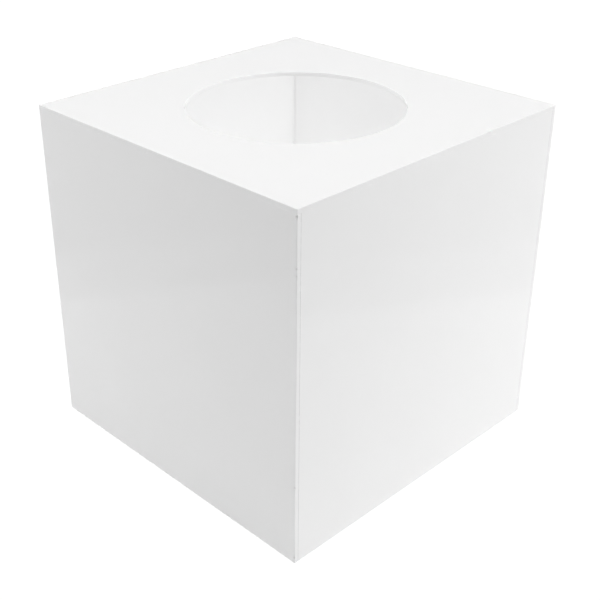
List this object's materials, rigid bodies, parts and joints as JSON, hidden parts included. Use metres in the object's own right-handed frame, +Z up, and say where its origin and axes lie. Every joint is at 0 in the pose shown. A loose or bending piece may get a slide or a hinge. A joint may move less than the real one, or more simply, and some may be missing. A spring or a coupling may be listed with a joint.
{
  "type": "acrylic display cube",
  "caption": "Open-based white opal acrylic display cube, butt-jointed and cemented from flat sheet, with a round hole centred in its top.",
  "frame": {"origin": "centre of the open base, on the surface that the cube stands on", "axes": "+Z up, towards the top with the round hole; -Y towards the front wall; +X towards the right wall"},
  "size_m": [0.25, 0.25, 0.25],
  "materials": {
    "top_sheet": "gloss white opal acrylic sheet, with a polished hole edge",
    "wall_sheet": "gloss white opal acrylic sheet",
    "cement": "clear to milky acrylic cement, smooth and slightly uneven"
  },
  "bodies": {
    "root": {"top_panel": "top_sheet", "front_panel": "wall_sheet", "back_panel": "wall_sheet", "left_panel": "wall_sheet", "right_panel": "wall_sheet", "cement_front_left": "cement", "cement_front_right": "cement", "cement_back_left": "cement", "cement_back_right": "cement", "cement_top_front": "cement", "cement_top_back": "cement", "cement_top_left": "cement", "cement_top_right": "cement"}
  },
  "joints": []
}
